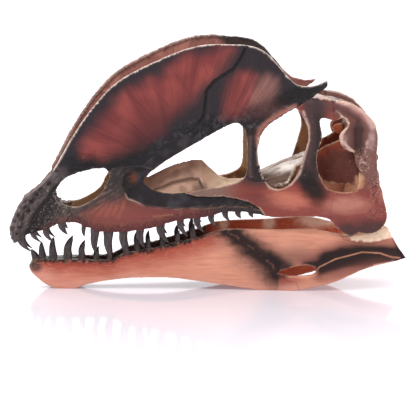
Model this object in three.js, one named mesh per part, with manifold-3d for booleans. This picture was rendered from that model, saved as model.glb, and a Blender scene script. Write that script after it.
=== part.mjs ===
import * as THREE from 'three';
import { mergeVertices } from 'three/addons/utils/BufferGeometryUtils.js';
import Module from 'manifold-3d';

const wasm = await Module();
wasm.setup();

// Skull of a two-crested theropod, life size, millimetres.
// Snout towards -X, left side towards -Y, chin and jaw corners on the ground at Z 0.
const SEAM = 0.3;
const HALF_SEAM = SEAM / 2;
const SNOUT_X = -312;
const WALL_FOOT = 90;
const WALL_CURVE = 1.6;
const CREST_LEAN = 0.14;
const CREST_EDGE = 3.2;
const WALL_THICK = 6;
const ALVEOLAR_EXTRA = 3;
const FOSSA_DEPTH = 4.5;
const ROOT_DEPTH = 6.2;

// Half-widths of the skull along its length: at the jaw edge, at the roof, and the roof's height.
const JAW_EDGE = [[-312, 1], [-306, 13], [-296, 20], [-280, 26], [-250, 31], [-200, 36], [-150, 40],
  [-100, 44], [-50, 48], [0, 52], [50, 56], [100, 65], [150, 73], [200, 76], [240, 73], [282, 67]];
const ROOF_EDGE = [[-312, 1], [-306, 7], [-296, 12], [-280, 16], [-250, 23], [-200, 30], [-150, 34],
  [-50, 38], [50, 43], [100, 48], [150, 56], [200, 60], [240, 58], [282, 54]];
const ROOF_LINE = [[-312, 105], [-296, 132], [-280, 148], [-250, 173], [-200, 203], [-150, 216],
  [-100, 224], [-50, 240], [0, 264], [50, 284], [100, 296], [150, 303], [200, 303], [240, 287], [282, 250]];

// Side view of the skull, split where the edge has a corner.
const DORSAL_EDGE = [[-312, 92], [-309, 106], [-288, 145], [-263, 165], [-240, 191], [-213, 242],
  [-179, 293], [-139, 335], [-73, 370], [-32, 386], [-2, 392], [35, 392], [59, 391], [78, 386],
  [95, 375], [111, 356], [137, 329], [152, 326], [168, 328], [184, 336]];
const SPIKE_UNDERSIDE = [[184, 336], [185, 327], [173, 317], [161, 308]];
const REAR_EDGE = [[161, 308], [178, 308], [195, 304], [226, 296], [251, 276], [264, 251], [263, 216],
  [269, 170], [278, 135], [280, 116], [265, 98], [250, 95], [234, 97], [223, 92], [210, 98], [199, 107],
  [189, 119], [175, 123], [133, 123], [107, 121], [90, 123]];
const MAXILLA_MARGIN = [[90, 123], [79, 125], [59, 128], [22, 127], [-3, 120], [-35, 116], [-62, 110],
  [-83, 103], [-117, 97], [-145, 95], [-168, 96], [-184, 101], [-201, 109]];
const PREMAXILLA_MARGIN = [[-201, 109], [-213, 111], [-236, 107], [-254, 97], [-281, 90], [-300, 76],
  [-306, 75], [-312, 92]];

// Openings in the side of the skull.
const NARIS = [[-238, 155], [-233, 168], [-223, 180], [-209, 187], [-173, 196], [-160, 196], [-153, 187],
  [-157, 173], [-172, 151], [-190, 140], [-209, 134], [-226, 136], [-235, 143]];
const ANTORBITAL = [[-99, 175], [-91, 166], [-78, 160], [-62, 157], [-37, 158], [-2, 165], [44, 174],
  [59, 185], [62, 214], [60, 252], [54, 263], [45, 268], [24, 260], [-25, 232], [-74, 202], [-95, 183]];
const ORBIT = [[136, 292], [148, 277], [157, 251], [150, 222], [141, 194], [133, 179], [120, 168],
  [109, 165], [97, 169], [84, 189], [77, 228], [80, 246], [93, 264], [118, 282]];
const TEMPORAL = [[175, 276], [199, 273], [210, 279], [218, 266], [206, 250], [210, 231], [225, 224],
  [231, 203], [247, 178], [233, 164], [208, 161], [185, 168], [172, 192], [169, 220], [177, 246]];

// Floor of the hollow in front of and below the antorbital opening.
const FOSSA_RIM = [[-134, 169], [-125, 149], [-95, 136], [-54, 132], [11, 135], [50, 137], [80, 133]];
const FOSSA_TOP = [[80, 133], [84, 150], [40, 170], [-37, 172], [-60, 178], [-90, 195], [-110, 198],
  [-128, 188], [-134, 169]];

// Sutures that part the side of the skull into bones.
const CREST_CRACK = [[-168, 184], [-150, 196], [-129, 201], [-102, 201], [-77, 223], [-66, 235], [-37, 247],
  [-16, 264], [-6, 281], [-2, 320], [10, 335], [39, 354], [51, 372], [64, 402]];
const SKULL_SUTURES = [
  CREST_CRACK,
  [[-207, 148], [-214, 127], [-210, 98]],
  [[-214, 178], [-230, 190], [-260, 191]],
  [[-46, 166], [-37, 158], [-19, 153], [2, 152], [23, 154], [44, 150], [63, 146], [80, 135], [96, 112]],
  [[-36, 252], [-10, 234]],
  [[48, 190], [73, 176], [100, 178]],
  [[128, 184], [155, 215], [185, 240]],
  [[192, 320], [199, 262]],
  [[198, 170], [191, 142], [187, 105]],
  [[214, 217], [244, 227], [280, 220]],
  [[128, 285], [147, 299], [160, 307.6], [174, 312]],
];

// Lower jaw: half-width along its length, side view, opening and sutures.
const JAW_HALF = [[-285, 1], [-280, 9], [-265, 15], [-240, 18], [-200, 22], [-100, 31], [0, 40], [67, 46],
  [145, 56], [235, 63], [312, 60]];
const JAW_TOP = [[-282, 35], [-276, 44], [-264, 48], [-232, 48], [-191, 48], [-151, 49], [-134, 57],
  [-117, 62], [-83, 67], [-53, 75], [-26, 82], [-4, 89], [11, 95], [40, 98], [109, 98], [160, 100],
  [182, 97], [203, 91]];
const JAW_SOCKET = [[203, 91], [213, 88], [223, 88], [234, 92], [251, 93], [266, 97], [281, 104]];
const JAW_HEEL = [[281, 104], [291, 85], [302, 67], [312, 53]];
const JAW_BASE = [[312, 53], [280, 46], [258, 41], [237, 33], [215, 22], [194, 13], [172, 7], [150, 2],
  [128, -1.5], [100, -1.5], [72, 1], [53, 4], [11, 11], [-49, 19], [-83, 20], [-116, 19], [-146, 16],
  [-176, 11], [-199, 4], [-213, -1.5], [-231, -1.5], [-243, 1], [-255, 7], [-267, 16], [-278, 26], [-282, 35]];
const JAW_WINDOW = [[109, 30], [118, 34], [139, 40], [159, 42], [168, 38], [171, 31], [165, 26], [148, 24],
  [126, 24]];
const JAW_SUTURES = [
  [[26, 108], [29, 95], [45, 87], [67, 71], [90, 53], [102, 42], [114, 28]],
  [[120, 28], [122, 18], [140, 13], [148, -8]],
  [[164, 30], [175, 40], [200, 53], [242, 64], [270, 62], [290, 55], [320, 54]],
  [[204, 104], [212, 85], [232, 79], [257, 77], [302, 85]],
];

// Teeth: position along the jaw, crown length, sweep towards the back, width.
const PREMAXILLA_TEETH = [[-292.6, 22, 17, 11], [-273.6, 17, 14, 9], [-253.6, 22, 15, 9], [-228.6, 20, 9, 11]];
const MAXILLA_TEETH = [[-193.6, 19, 0, 7], [-175.6, 37, -1, 12], [-154.6, 43, 3, 13], [-131.6, 39, 9, 12],
  [-105.6, 30, 7, 11], [-73.6, 30, 13, 12], [-42.6, 28, 12, 10], [-16.6, 25, 12, 10], [5.4, 21, 11, 9],
  [27.4, 16, 8, 9], [47.4, 12, 5, 9], [67.4, 9, 4, 8]];
const DENTARY_TEETH = [[-270.6, 14, -7, 9], [-259.6, 24, -2, 8], [-242.6, 31, 0, 9], [-219.6, 33, 8, 10],
  [-197.6, 25, 5, 8], [-174.6, 14, 4, 7], [-152.6, 16, 3, 7], [-127.6, 18, 2, 7], [-109.6, 23, 1, 7], [-91.6, 20, 1, 6],
  [-69.6, 17, 2, 6], [-45.6, 18, 2, 6], [-21.6, 22, 1, 7]];

const { clamp, lerp } = THREE.MathUtils;

// A smooth height through given stations.
function through(stations) {
  const last = stations.length - 1;
  const slope = (k) => {
    const a = stations[Math.max(k - 1, 0)];
    const b = stations[Math.min(k + 1, last)];
    return (b[1] - a[1]) / (b[0] - a[0]);
  };
  return (at) => {
    const x = clamp(at, stations[0][0], stations[last][0]);
    let i = 0;
    while (i < last - 1 && x > stations[i + 1][0]) {
      i += 1;
    }
    const h = stations[i + 1][0] - stations[i][0];
    const t = (x - stations[i][0]) / h;
    const rise = stations[i + 1][1] - stations[i][1];
    const ease = t * t * (3 - 2 * t);
    const bow = t * (1 - t) * h * (slope(i) * (1 - t) - slope(i + 1) * t);
    return stations[i][1] + rise * ease + bow;
  };
}

function solid(geometry) {
  geometry.deleteAttribute('normal');
  geometry.deleteAttribute('uv');
  const merged = mergeVertices(geometry);
  const mesh = new wasm.Mesh({
    numProp: 3,
    vertProperties: new Float32Array(merged.attributes.position.array),
    triVerts: new Uint32Array(merged.index.array),
  });
  return new wasm.Manifold(mesh);
}

function block(x0, x1, y0, y1, z0, z1) {
  const box = new THREE.BoxGeometry(x1 - x0, y1 - y0, z1 - z0);
  box.translate((x0 + x1) / 2, (y0 + y1) / 2, (z0 + z1) / 2);
  return solid(box);
}

function ball([x, y, z], [rx, ry, rz], around = 10, over = 6) {
  const sphere = new THREE.SphereGeometry(1, around, over);
  sphere.scale(rx, ry, rz);
  sphere.translate(x, y, z);
  return solid(sphere);
}

// An upright sheet whose two faces stand at given distances left of the midline.
function sheet([x0, x1, nx], [z0, z1, nz], outer, inner) {
  const box = new THREE.BoxGeometry(1, 1, 1, nx, 1, nz);
  const p = box.attributes.position;
  for (let i = 0; i < p.count; i += 1) {
    const x = lerp(x0, x1, (p.getX(i) + 0.5) ** 1.25);
    const z = lerp(z0, z1, p.getZ(i) + 0.5);
    p.setXYZ(i, x, p.getY(i) < 0 ? -outer(x, z) : -inner(x, z), z);
  }
  return solid(box);
}

// A lying plate from near the midline out to a given half-width, with its own top and thickness.
function plate([x0, x1, nx], near, far, top, thickness, ny = 4) {
  const box = new THREE.BoxGeometry(1, 1, 1, nx, ny, 1);
  const p = box.attributes.position;
  for (let i = 0; i < p.count; i += 1) {
    const x = lerp(x0, x1, p.getX(i) + 0.5);
    const out = 0.5 - p.getY(i);
    const y = -lerp(near(x), far(x), out);
    p.setXYZ(i, x, y, top(x, out) - (p.getZ(i) < 0 ? thickness : 0));
  }
  return solid(box);
}

// Points along a smooth line, without those that lie straight between their neighbours.
function smooth(points, closed = false, slack = 0.35) {
  const line = new THREE.CatmullRomCurve3(points.map(([x, z]) => new THREE.Vector3(x, z, 0)), closed);
  const dense = line.getPoints(points.length * 5).map((p) => new THREE.Vector2(p.x, p.y));
  const thin = (a, b) => {
    const chord = dense[b].clone().sub(dense[a]);
    const span = chord.length() || 1;
    let worst = slack;
    let keep = -1;
    for (let i = a + 1; i < b; i += 1) {
      const off = Math.abs(chord.cross(dense[i].clone().sub(dense[a]))) / span;
      if (off > worst) {
        worst = off;
        keep = i;
      }
    }
    return keep < 0 ? [dense[a]] : [...thin(a, keep), ...thin(keep, b)];
  };
  const half = Math.floor(dense.length / 2);
  return [...thin(0, half), ...thin(half, dense.length - 1)];
}

function prism(outline, depth = 140) {
  const geometry = new THREE.ExtrudeGeometry(new THREE.Shape(outline), { depth, bevelEnabled: false });
  geometry.rotateX(Math.PI / 2);
  geometry.translate(0, 10, 0);
  return solid(geometry);
}

// A thin saw cut along a line in the side view.
function saw(points) {
  const line = points.map(([x, z]) => new THREE.Vector2(x, z));
  const offset = line.map((p, i) => {
    const before = line[Math.max(i - 1, 0)];
    const after = line[Math.min(i + 1, line.length - 1)];
    const run = after.clone().sub(before).normalize();
    return new THREE.Vector2(-run.y, run.x).multiplyScalar(HALF_SEAM);
  });
  const upper = line.map((p, i) => p.clone().add(offset[i]));
  const lower = line.map((p, i) => p.clone().sub(offset[i]));
  return prism([...upper, ...lower.reverse()]);
}

// The largest closed body of a shape, or the one that holds a spot of the side view.
function body(shape, spot = null) {
  const pieces = shape.decompose();
  const inside = (piece) => {
    if (!spot) {
      return true;
    }
    const [x, z] = spot;
    return piece.intersect(block(x - 2, x + 2, -140, 10, z - 2, z + 2)).volume() > 1;
  };
  return pieces.filter(inside).sort((a, b) => b.volume() - a.volume())[0];
}

const jawEdge = through(JAW_EDGE);
const roofEdge = through(ROOF_EDGE);
const roofLine = through(ROOF_LINE);
const snoutFill = through([[-312, 40], [-246, 40], [-214, 0]]);

function rise(x, z) {
  return clamp((z - WALL_FOOT) / (roofLine(x) - WALL_FOOT), 0, 1);
}

// Distance of the skull's outer face from the midline.
function face(x, z) {
  const wall = lerp(roofEdge(x), jawEdge(x), 1 - rise(x, z) ** WALL_CURVE);
  return wall + CREST_LEAN * Math.max(0, z - roofLine(x));
}

function wallThickness(x, z) {
  const above = Math.max(0, z - roofLine(x));
  const plain = WALL_THICK + ALVEOLAR_EXTRA * (1 - rise(x, z)) - 0.035 * above;
  return Math.max(CREST_EDGE, plain) + snoutFill(x);
}

function lining(x, z) {
  return Math.max(HALF_SEAM, face(x, z) - wallThickness(x, z));
}

const WALL_X = [SNOUT_X - 2, 286, 24];
const WALL_Z = [68, 402, 12];

// Room taken by the side wall, openings included, with the seam added to its inner face.
const wallRoom = sheet(WALL_X, WALL_Z, (x, z) => face(x, z) + 60, (x, z) => lining(x, z) - SEAM);
const wallRoomRight = wallRoom.mirror([0, 1, 0]);
const fitInside = (shape) => shape.subtract(wallRoom);
const fitBetween = (shape) => body(shape.add(shape.mirror([0, 1, 0])).subtract(wallRoom).subtract(wallRoomRight));

const skullOutline = [
  ...smooth(DORSAL_EDGE), ...smooth(SPIKE_UNDERSIDE), ...smooth(REAR_EDGE), ...smooth(MAXILLA_MARGIN),
  ...smooth(PREMAXILLA_MARGIN),
];
let wall = sheet(WALL_X, WALL_Z, face, lining).intersect(prism(skullOutline));
for (const opening of [NARIS, ANTORBITAL, ORBIT, TEMPORAL]) {
  wall = wall.subtract(prism(smooth(opening, true)));
}
const fossaOutline = [...smooth(FOSSA_RIM), ...smooth(FOSSA_TOP)];
const fossa = sheet([-150, 96, 8], [120, 204, 3], (x, z) => face(x, z) + 20, (x, z) => face(x, z) - FOSSA_DEPTH);
for (const line of SKULL_SUTURES) {
  wall = wall.subtract(saw(line));
}

// A backswept, flattened tooth from its socket to its point.
function tooth([x, y, z], length, sweep, width, up) {
  const cone = new THREE.ConeGeometry(0.5, 1, 6, 3);
  const p = cone.attributes.position;
  const root = ROOT_DEPTH * (length > 15 ? 1 : 0.75);
  const levels = [-root, 0.28 * length, 0.68 * length, length];
  const girth = [1, 0.95, 0.6, 0];
  for (let i = 0; i < p.count; i += 1) {
    const ring = Math.round((p.getY(i) + 0.5) * 3);
    const share = clamp(levels[ring] / length, 0, 1);
    const back = sweep * share * share - 0.06 * length * Math.sin(Math.PI * share);
    const side = new THREE.Vector2(p.getX(i), p.getZ(i)).normalize().multiplyScalar((width / 2) * girth[ring]);
    const px = x + back + side.x;
    const py = y + side.y * 0.62 + 2.5 * share;
    p.setXYZ(i, px, py, z + levels[ring] * up);
  }
  if (up > 0) {
    const index = cone.index.array;
    for (let i = 0; i < index.length; i += 3) {
      [index[i], index[i + 1]] = [index[i + 1], index[i]];
    }
  }
  return solid(cone);
}

function withTeeth(bone, teeth, up, edge, stance) {
  let shape = bone;
  for (const [x, length, sweep, width] of teeth) {
    const z = edge(x);
    shape = shape.add(tooth([x, -stance(x, z), z], length, sweep, width, up));
  }
  return body(shape);
}

const upperEdge = through([...MAXILLA_MARGIN, ...PREMAXILLA_MARGIN.slice(1)].reverse());
const upperStance = (x, z) => Math.max(6, face(x, z) - 6);

const premaxilla = withTeeth(body(wall, [-275, 120]), PREMAXILLA_TEETH, -1, upperEdge, upperStance);
const hollowed = body(wall, [-150, 120]).subtract(fossa.intersect(prism(fossaOutline)));
const maxilla = withTeeth(hollowed, MAXILLA_TEETH, -1, upperEdge, upperStance);
const lacrimal = body(wall, [60, 330]);
const WORN_SPIKE = [[118, 350], [140, 326], [160, 321], [178, 322], [200, 330], [200, 350]];
const lacrimalWorn = body(lacrimal.subtract(prism(WORN_SPIKE.map(([x, z]) => new THREE.Vector2(x, z)))));
const jugal = body(wall, [130, 145]);
const postorbital = body(wall, [166, 260]);
const squamosal = body(wall, [245, 255]);
const quadratojugal = body(wall, [245, 125]);

// The nasal carries the front of the crest and a shelf that meets its twin on the midline.
const shelf = plate([-230, -42, 8], () => HALF_SEAM, (x) => face(x, roofLine(x) + 8) - 2,
  (x) => roofLine(x) + 12, 8, 1);
const nasal = body(body(wall, [-120, 290]).add(shelf));

// Skull roof between and behind the crests, with the two upper temporal openings.
const roofTop = through([[-42, 256], [0, 272], [50, 290], [100, 299], [150, 303], [200, 303], [235, 290],
  [256, 268]]);
const halfRoof = plate([-41.7, 254, 12], () => -1, () => 70, (x, out) => roofTop(x) - 6 * (1 - out) ** 2, 9, 3);
const roof = fitBetween(halfRoof.subtract(ball([208, -41, 290], [31, 22, 60], 14, 6)));

// Braincase with its side wings, the round neck joint and the opening above it.
const underRoof = plate([-41.7, 254, 12], () => -90, () => 90, (x) => roofTop(x) + 40, 55 + SEAM, 1);
let braincase = block(218, 254, -20, 20, 172, 300).subtract(underRoof);
braincase = braincase.add(block(240, 258, -20, 20, 172, 250));
braincase = braincase.add(block(254.3, 262, -80, 80, 214, 246));
braincase = braincase.subtract(ball([262, 0, 226], [12, 9, 10]));
braincase = braincase.add(ball([264, 0, 204], [11, 12, 10]));
braincase = braincase.add(ball([212, 0, 251], [13, 9, 9]));
braincase = fitBetween(braincase);

// Quadrate: a post against the cheek, a wing that leans to the midline and a knuckle for the jaw.
const wingFace = (x) => 30 + 0.36 * (x - 172);
const POST = [[213, 97], [240, 97], [254, 112], [254, 232], [238, 250], [228, 222], [236, 180], [224, 132]];
const WING = [[170, 196], [172, 217], [182, 227], [199, 235], [214, 243], [254, 238], [254, 168], [219, 170],
  [189, 170], [176, 182]];
const KNUCKLE = [224, -53, 99];
const KNUCKLE_RADIUS = 10;
const post = sheet([205, 260, 3], [90, 256, 5], (x, z) => lining(x, z) - SEAM, (x, z) => lining(x, z) - 15);
const wing = sheet([166, 258, 4], [160, 262, 3], wingFace, (x) => wingFace(x) - 5);
const post2d = smooth(POST, true);
const wing2d = smooth(WING, true);
let quadrate = post.intersect(prism(post2d)).add(wing.intersect(prism(wing2d)));
quadrate = quadrate.add(ball(KNUCKLE, [KNUCKLE_RADIUS, 11, KNUCKLE_RADIUS]));
quadrate = body(fitInside(quadrate).subtract(block(254, 300, -140, 10, 60, 320)));
const wingRoom = sheet([150, 262, 4], [100, 300, 2], (x) => wingFace(x) + 40, (x) => wingFace(x) - 5 - SEAM);

// Palate from front to back.
const midline = () => HALF_SEAM;
const vomerHalf = plate([-246, -105.3, 7], () => -1, () => 50, (x, out) => 128 - 8 * out, 8, 2);
const vomer = fitBetween(vomerHalf);

const palateRidge = through([[-105, 176], [-94, 176], [-57, 194], [-26, 203], [-6, 204], [4, 194], [12, 184],
  [24, 176], [42, 172], [62, 174]]);
const palatine = body(fitInside(plate([-105, 62, 12], midline, (x) => face(x, 140),
  (x, out) => lerp(palateRidge(x), 140, out ** 0.9), 5.5, 3)));

const pterygoidRidge = through([[62.3, 174], [90, 187], [147, 212], [180, 217], [217.7, 213]]);
const pterygoidHalf = through([[62.3, 52], [94, 74], [118, 74], [134, 30], [165, 24], [217.7, 20]]);
const pterygoid = body(fitInside(plate([62.3, 217.7, 10], midline, pterygoidHalf,
  (x, out) => pterygoidRidge(x) - 34 * (pterygoidHalf(x) / 70) ** 1.2 * out ** 1.6, 6, 3)).subtract(wingRoom));

// Lower jaw, trimmed level where it rests on the ground.
const jawHalf = through(JAW_HALF);
const chinFill = through([[-285, 30], [-232, 30], [-205, 0]]);
const socketFill = through([[196, 0], [212, 14], [262, 14], [284, 2]]);

function jawFace(x, z) {
  return Math.max(1, jawHalf(x) - 4 * ((z - 50) / 45) ** 2);
}

function jawLining(x, z) {
  const thick = 11 + chinFill(x) + socketFill(x) * clamp((z - 62) / 20, 0, 1);
  return Math.max(HALF_SEAM, jawHalf(x) - thick);
}

const jawOutline = [...smooth(JAW_TOP), ...smooth(JAW_SOCKET), ...smooth(JAW_HEEL), ...smooth(JAW_BASE)];
let jaw = sheet([-287, 316, 22], [-4, 108, 5], jawFace, jawLining).intersect(prism(jawOutline));
jaw = jaw.subtract(prism(smooth(JAW_WINDOW, true)));
jaw = jaw.subtract(block(-400, 400, -200, 200, -50, 0));
const socket = KNUCKLE_RADIUS + SEAM;
jaw = jaw.subtract(ball(KNUCKLE, [socket, 11 + SEAM, socket]));
for (const line of JAW_SUTURES) {
  jaw = jaw.subtract(saw(line));
}
const lowerEdge = through(JAW_TOP);
const dentary = withTeeth(body(jaw, [-100, 40]), DENTARY_TEETH, 1, lowerEdge,
  (x, z) => Math.max(5, jawFace(x, z) - 6));
const surangular = body(jaw, [150, 70]);
const angular = body(jaw, [200, 35]);
const articular = body(jaw, [262, 86]);

const skull = new THREE.Group();
skull.name = 'crested_skull';

function place(name, shape, colour, roughness, mirrored = false) {
  const { numProp, vertProperties, triVerts } = shape.getMesh();
  const points = new Float32Array((vertProperties.length / numProp) * 3);
  for (let i = 0; i < points.length / 3; i += 1) {
    points.set(vertProperties.subarray(i * numProp, i * numProp + 3), i * 3);
  }
  const geometry = new THREE.BufferGeometry();
  geometry.setAttribute('position', new THREE.BufferAttribute(points, 3));
  geometry.setIndex(new THREE.BufferAttribute(new Uint32Array(triVerts), 1));
  geometry.computeVertexNormals();
  const material = new THREE.MeshStandardMaterial({ color: colour, roughness, metalness: 0 });
  const mesh = new THREE.Mesh(geometry, material);
  mesh.name = name;
  mesh.scale.y = mirrored ? -1 : 1;
  skull.add(mesh);
}

const PAIRED = [
  ['premaxilla', premaxilla, '#3a302d'],
  ['maxilla', maxilla, '#7a4038'],
  ['nasal', nasal, '#8a3a33'],
  ['lacrimal', lacrimal, '#6b332f'],
  ['jugal', jugal, '#b4604f'],
  ['postorbital', postorbital, '#54403f'],
  ['squamosal', squamosal, '#9a6258'],
  ['quadratojugal', quadratojugal, '#8c5148'],
  ['quadrate', quadrate, '#6e3f33'],
  ['palatine', palatine, '#c3aa88'],
  ['pterygoid', pterygoid, '#b79a78'],
  ['dentary', dentary, '#d68b6b'],
  ['surangular', surangular, '#d98f6d'],
  ['angular', angular, '#c98a70'],
  ['articular', articular, '#dcc3a0'],
];
for (const [name, shape, colour] of PAIRED) {
  place(`${name}_left`, shape, colour, 0.5);
  place(`${name}_right`, name === 'lacrimal' ? lacrimalWorn : shape, colour, 0.5, true);
}
place('skull_roof', roof, '#6a4a42', 0.5);
place('braincase', braincase, '#96695a', 0.5);
place('vomer', vomer, '#bfa684', 0.5);

export default skull;
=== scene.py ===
import math

import bpy
import numpy as np
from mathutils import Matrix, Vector
from mathutils.bvhtree import BVHTree


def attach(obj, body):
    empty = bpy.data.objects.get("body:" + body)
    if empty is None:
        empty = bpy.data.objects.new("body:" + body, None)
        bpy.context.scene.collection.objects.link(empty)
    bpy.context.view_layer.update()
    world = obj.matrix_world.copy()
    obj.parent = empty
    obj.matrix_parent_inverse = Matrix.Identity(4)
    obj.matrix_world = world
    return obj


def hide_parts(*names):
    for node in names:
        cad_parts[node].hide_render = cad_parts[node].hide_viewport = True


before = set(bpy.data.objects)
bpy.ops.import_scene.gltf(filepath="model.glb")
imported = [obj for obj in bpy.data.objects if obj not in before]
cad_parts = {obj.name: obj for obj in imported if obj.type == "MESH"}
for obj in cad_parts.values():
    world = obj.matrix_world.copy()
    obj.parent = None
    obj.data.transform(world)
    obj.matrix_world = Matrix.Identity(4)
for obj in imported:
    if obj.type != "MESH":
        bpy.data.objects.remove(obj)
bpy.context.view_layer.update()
scene = bpy.context.scene

# Stand and light: the cast rests on a glossy white table, lit faintly from below, before a white wall.
# A wide soft lamp hangs over the snout, a weak one fills beside the lens, and a strip behind rims the
# crests. The lens shows one pixel of the square picture as pixel_size metres at the aim.
aim = Vector((0.003, 0.0, 0.125))
turn, lift, reach = math.radians(-3.2), math.radians(11.0), 3.5
picture_width, pixel_size = 416, 0.001588
sensor = 36.0
back = Vector((math.sin(turn) * math.cos(lift), -math.cos(turn) * math.cos(lift), math.sin(lift)))
bpy.ops.object.camera_add(location=aim + back * reach, rotation=back.to_track_quat("Z", "Y").to_euler())
scene.camera = bpy.context.object
scene.camera.data.sensor_width = sensor
scene.camera.data.lens = sensor * reach / (picture_width * pixel_size)

table_width = 60.0
bpy.ops.mesh.primitive_plane_add(size=table_width)
table = bpy.context.object
table.name = "table"
gloss = bpy.data.materials.new("white_gloss_table")
gloss.use_nodes = True
shell = gloss.node_tree.nodes["Principled BSDF"]
shell.inputs["Base Color"].default_value = (0.72, 0.685, 0.73, 1)
shell.inputs["Emission Color"].default_value = (1, 0.86, 1, 1)
shell.inputs["Emission Strength"].default_value = 0.14
shell.inputs["Roughness"].default_value = 0.07
shell.inputs["IOR"].default_value = 1.38
table.data.materials.append(gloss)

scene.world = bpy.data.worlds.new("white_wall")
scene.world.use_nodes = True
wall_light = scene.world.node_tree
facing = wall_light.nodes.new("ShaderNodeTexCoord")
lean = wall_light.nodes.new("ShaderNodeVectorMath")
lean.operation = "DOT_PRODUCT"
lean.inputs[1].default_value = (-0.1, 0.45, 0.88)
fade = wall_light.nodes.new("ShaderNodeMapRange")
wall_low, wall_high = 0.2, 1.75
fade.inputs["From Min"].default_value, fade.inputs["From Max"].default_value = -0.35, 1.0
fade.inputs["To Min"].default_value, fade.inputs["To Max"].default_value = wall_low, wall_high
wall_light.links.new(facing.outputs["Generated"], lean.inputs[0])
wall_light.links.new(lean.outputs["Value"], fade.inputs["Value"])
wall_light.links.new(fade.outputs["Result"], wall_light.nodes["Background"].inputs["Strength"])
wall_light.nodes["Background"].inputs["Color"].default_value = (1, 1, 1, 1)
scene.view_settings.view_transform = "Standard"
lamps_face = Vector((0, 0, 0.2))
for name, place, size, watts in (
    ("lamp_over_snout", (-0.9, -1.3, 2.1), 0.9, 26.0),
    ("fill_by_lens", (1.1, -2.4, 1.0), 1.2, 5.0),
    ("strip_behind", (0.2, 1.5, 1.8), 1.2, 24.0),
):
    bpy.ops.object.light_add(type="AREA", location=place)
    lamp = bpy.context.object
    lamp.name = name
    lamp.data.size = size
    lamp.data.energy = watts
    lamp.rotation_euler = (Vector(place) - lamps_face).to_track_quat("Z", "Y").to_euler()

# Premaxillae: the two halves of the snout tip, cast solid in resin and sprayed charcoal, with brown
# rubbed into the pits. They butt on the midline and against the maxillae with a hairline joint.
# A smooth curve through (x, value) stations, level past its ends.
def line(stations):
    xs, ys = np.array(stations, float).T
    slope = np.empty_like(ys)
    slope[1:-1] = (ys[2:] - ys[:-2]) / (xs[2:] - xs[:-2])
    slope[0] = (ys[1] - ys[0]) / (xs[1] - xs[0])
    slope[-1] = (ys[-1] - ys[-2]) / (xs[-1] - xs[-2])

    def at(x):
        x = np.clip(x, xs[0], xs[-1])
        i = np.clip(np.searchsorted(xs, x) - 1, 0, len(xs) - 2)
        h = xs[i + 1] - xs[i]
        t = (x - xs[i]) / h
        bow = t * (1 - t) * h * (slope[i] * (1 - t) - slope[i + 1] * t)
        return ys[i] + (ys[i + 1] - ys[i]) * t * t * (3 - 2 * t) + bow
    return at


jaw_edge = line([(-312, 1), (-306, 13), (-296, 20), (-280, 26), (-250, 31), (-200, 36), (-150, 40),
                 (-100, 44), (-50, 48), (0, 52), (50, 56), (100, 65), (150, 73), (200, 76), (240, 73),
                 (282, 67)])
roof_edge = line([(-312, 1), (-306, 7), (-296, 12), (-280, 16), (-250, 23), (-200, 30), (-150, 34), (-50, 38),
                  (50, 43), (100, 48), (150, 56), (200, 60), (240, 58), (282, 54)])
roof_line = line([(-312, 105), (-296, 132), (-280, 148), (-250, 173), (-200, 203), (-150, 216), (-100, 224),
                  (-50, 240), (0, 264), (50, 284), (100, 296), (150, 303), (200, 303), (240, 287),
                  (282, 250)])
upper_edge = line([(-312, 92), (-306, 75), (-300, 76), (-281, 90), (-254, 97), (-236, 107), (-213, 111),
                   (-201, 109), (-184, 101), (-168, 96), (-145, 95), (-117, 97), (-83, 103), (-62, 110),
                   (-35, 116), (-3, 120), (22, 127), (59, 128), (79, 125), (90, 123)])


# Half the width of the skull at a place on its side wall.
def face(x, z):
    top = roof_line(x)
    rise = np.clip((z - 90) / (top - 90), 0, 1)
    return roof_edge(x) + (jaw_edge(x) - roof_edge(x)) * (1 - rise ** 1.6) + 0.14 * np.maximum(0, z - top)


# The same wall as the solids have it, in flat panels between the stations xs and zs.
def facets(surface, xs, zs):
    grid = surface(xs[:, None], zs[None, :])

    def at(x, z):
        i = np.clip(np.searchsorted(xs, x) - 1, 0, len(xs) - 2)
        k = np.clip(np.searchsorted(zs, z) - 1, 0, len(zs) - 2)
        u = np.clip((x - xs[i]) / (xs[i + 1] - xs[i]), 0, 1)
        v = np.clip((z - zs[k]) / (zs[k + 1] - zs[k]), 0, 1)
        low = grid[i, k] * (1 - u) + grid[i + 1, k] * u
        return low * (1 - v) + (grid[i, k + 1] * (1 - u) + grid[i + 1, k + 1] * u) * v
    return at


wall_facets = facets(face, -314 + 600 * np.linspace(0, 1, 25) ** 1.25, np.linspace(68, 402, 13))


# Soft lumps from 0 to 1, about size across, from two turned lattices of seeded values.
def noise(x, y, z, size, seed):
    spin = np.array([[0.36, 0.48, -0.8], [-0.8, 0.6, 0.0], [0.48, 0.64, 0.6]])
    cell = np.stack([x, y, z]) / size
    total = 0.0
    for share, scale in ((0.72, 1.0), (0.48, 1.9)):
        cell = spin @ cell
        at = cell * scale + 1000.0
        base = np.floor(at).astype(np.int64)
        t = at - base
        t = t * t * (3 - 2 * t)
        for corner in range(8):
            dx, dy, dz = corner & 1, corner >> 1 & 1, corner >> 2
            h = (base[0] + dx) * 374761393 + (base[1] + dy) * 668265263
            h = h + (base[2] + dz) * 1442695041 + seed * 97463
            h = (h ^ (h >> 13)) * 1274126177 & 0xFFFFFFFF
            h = (h ^ (h >> 16)) & 0xFFFF
            weight = (t[0] if dx else 1 - t[0]) * (t[1] if dy else 1 - t[1]) * (t[2] if dz else 1 - t[2])
            total = total + share * weight * (h / 65535.0 - 0.5)
    return np.clip(total + 0.5, 0, 1)


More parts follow.
